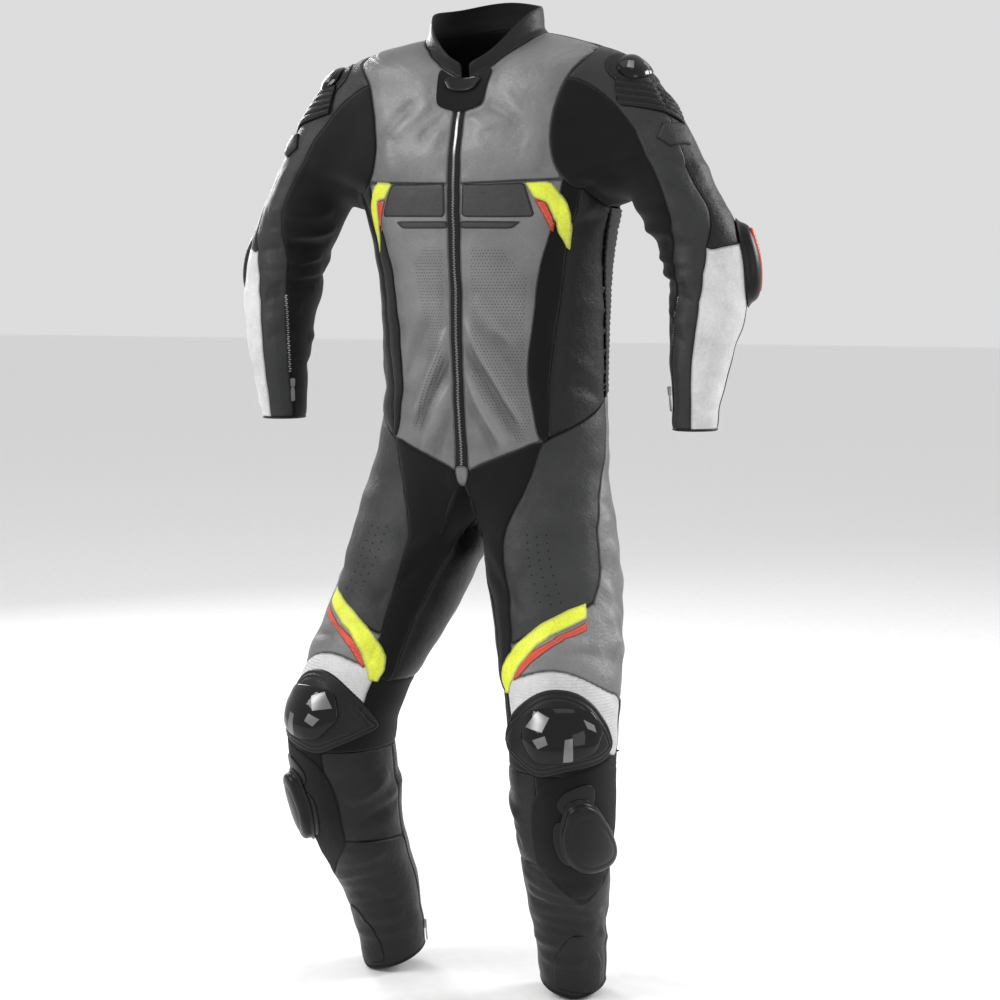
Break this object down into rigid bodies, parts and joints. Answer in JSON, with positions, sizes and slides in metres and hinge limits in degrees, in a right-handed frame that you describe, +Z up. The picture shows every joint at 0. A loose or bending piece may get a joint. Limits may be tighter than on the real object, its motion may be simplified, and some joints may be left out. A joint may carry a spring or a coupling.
{
  "type": "motorcycle race suit",
  "caption": "One-piece leather motorcycle race suit in worn form with no wearer: stand collar, front zip, bent sleeves and knees, hard shoulder, elbow and knee cups, knee sliders.",
  "frame": {"origin": "point inside the shoulders, under the neck, where the wearer holds the suit up", "axes": "+Z up, -Y to the suit's front, +X to the wearer's left"},
  "size_m": [0.8488, 0.3862, 1.5038],
  "materials": {
    "greyLeather": "grainy metallic sheen, soft",
    "blackLeather": "smooth leather",
    "thighLeather": "smooth leather",
    "blackStretch": "matte woven stretch",
    "whiteLeather": "smooth leather",
    "hook": "fuzzy hook-and-loop panel",
    "gloss": "moulded, glossy",
    "hardBlack": "moulded, satin",
    "metal": "dark plated"
  },
  "bodies": {
    "suit": {"shoulder_panel_l": "blackLeather", "shoulder_panel_r": "blackLeather", "arm_band_l": "thighLeather", "arm_band_r": "thighLeather", "arm_inner_l": "blackStretch", "arm_inner_r": "blackStretch", "forearm_white_l": "whiteLeather", "forearm_white_r": "whiteLeather", "crotch_stretch_l": "blackStretch", "crotch_stretch_r": "blackStretch", "thigh_l": "thighLeather", "thigh_r": "thighLeather", "outer_thigh_l": "greyLeather", "outer_thigh_r": "greyLeather", "seat_l": "blackLeather", "seat_r": "blackLeather", "knee_band_l": "whiteLeather", "knee_band_r": "whiteLeather", "knee_panel_l": "blackStretch", "knee_panel_r": "blackStretch", "shin_l": "blackLeather", "shin_r": "blackLeather", "hook_panel_l": "hook", "hook_panel_r": "hook", "lower_leg_l": "blackLeather", "lower_leg_r": "blackLeather", "calf_l": "blackLeather", "calf_r": "blackLeather", "collar": "blackLeather", "belly_l": "greyLeather", "belly_r": "greyLeather", "yoke_l": "greyLeather", "yoke_r": "greyLeather", "side_front_l": "blackStretch", "side_front_r": "blackStretch", "side_l": "blackLeather", "side_r": "blackLeather", "side_accordion_l": "blackStretch", "side_accordion_r": "blackStretch", "back": "blackLeather", "front_zip": "hardBlack", "throat_flap": "blackStretch", "knee_cup_l": "gloss", "knee_cup_r": "gloss", "knee_slider_l": "hardBlack", "knee_slider_r": "hardBlack", "elbow_cup_l": "hardBlack", "elbow_cup_r": "hardBlack", "shoulder_cup_l": "gloss", "shoulder_cup_r": "gloss", "throat_badge": "gloss", "zip_guard": "greyLeather", "cuff_slider_l": "metal", "cuff_slider_r": "metal", "ankle_slider_l": "metal", "ankle_slider_r": "metal"},
    "cuff_tab_l": {"cuff_pull_l": "metal"},
    "cuff_tab_r": {"cuff_pull_r": "metal"},
    "ankle_tab_l": {"ankle_pull_l": "metal"},
    "ankle_tab_r": {"ankle_pull_r": "metal"}
  },
  "joints": [
    {"name": "cuff_pull_l_swing", "type": "hinge", "parent": "suit", "child": "cuff_tab_l", "pos_m": [0.31239, -0.05289, -0.49056], "axis": [-0.5614, 0.8238, 0.0789], "range_deg": [0, 105]},
    {"name": "cuff_pull_r_swing", "type": "hinge", "parent": "suit", "child": "cuff_tab_r", "pos_m": [-0.31239, -0.05289, -0.49056], "axis": [-0.5614, -0.8238, -0.0789], "range_deg": [0, 105]},
    {"name": "ankle_pull_l_swing", "type": "hinge", "parent": "suit", "child": "ankle_tab_l", "pos_m": [0.10449, -0.00968, -1.34661], "axis": [0.3511, 0.8944, 0.2772], "range_deg": [0, 105]},
    {"name": "ankle_pull_r_swing", "type": "hinge", "parent": "suit", "child": "ankle_tab_r", "pos_m": [-0.10449, -0.00968, -1.34661], "axis": [0.3511, -0.8944, -0.2772], "range_deg": [0, 105]}
  ]
}
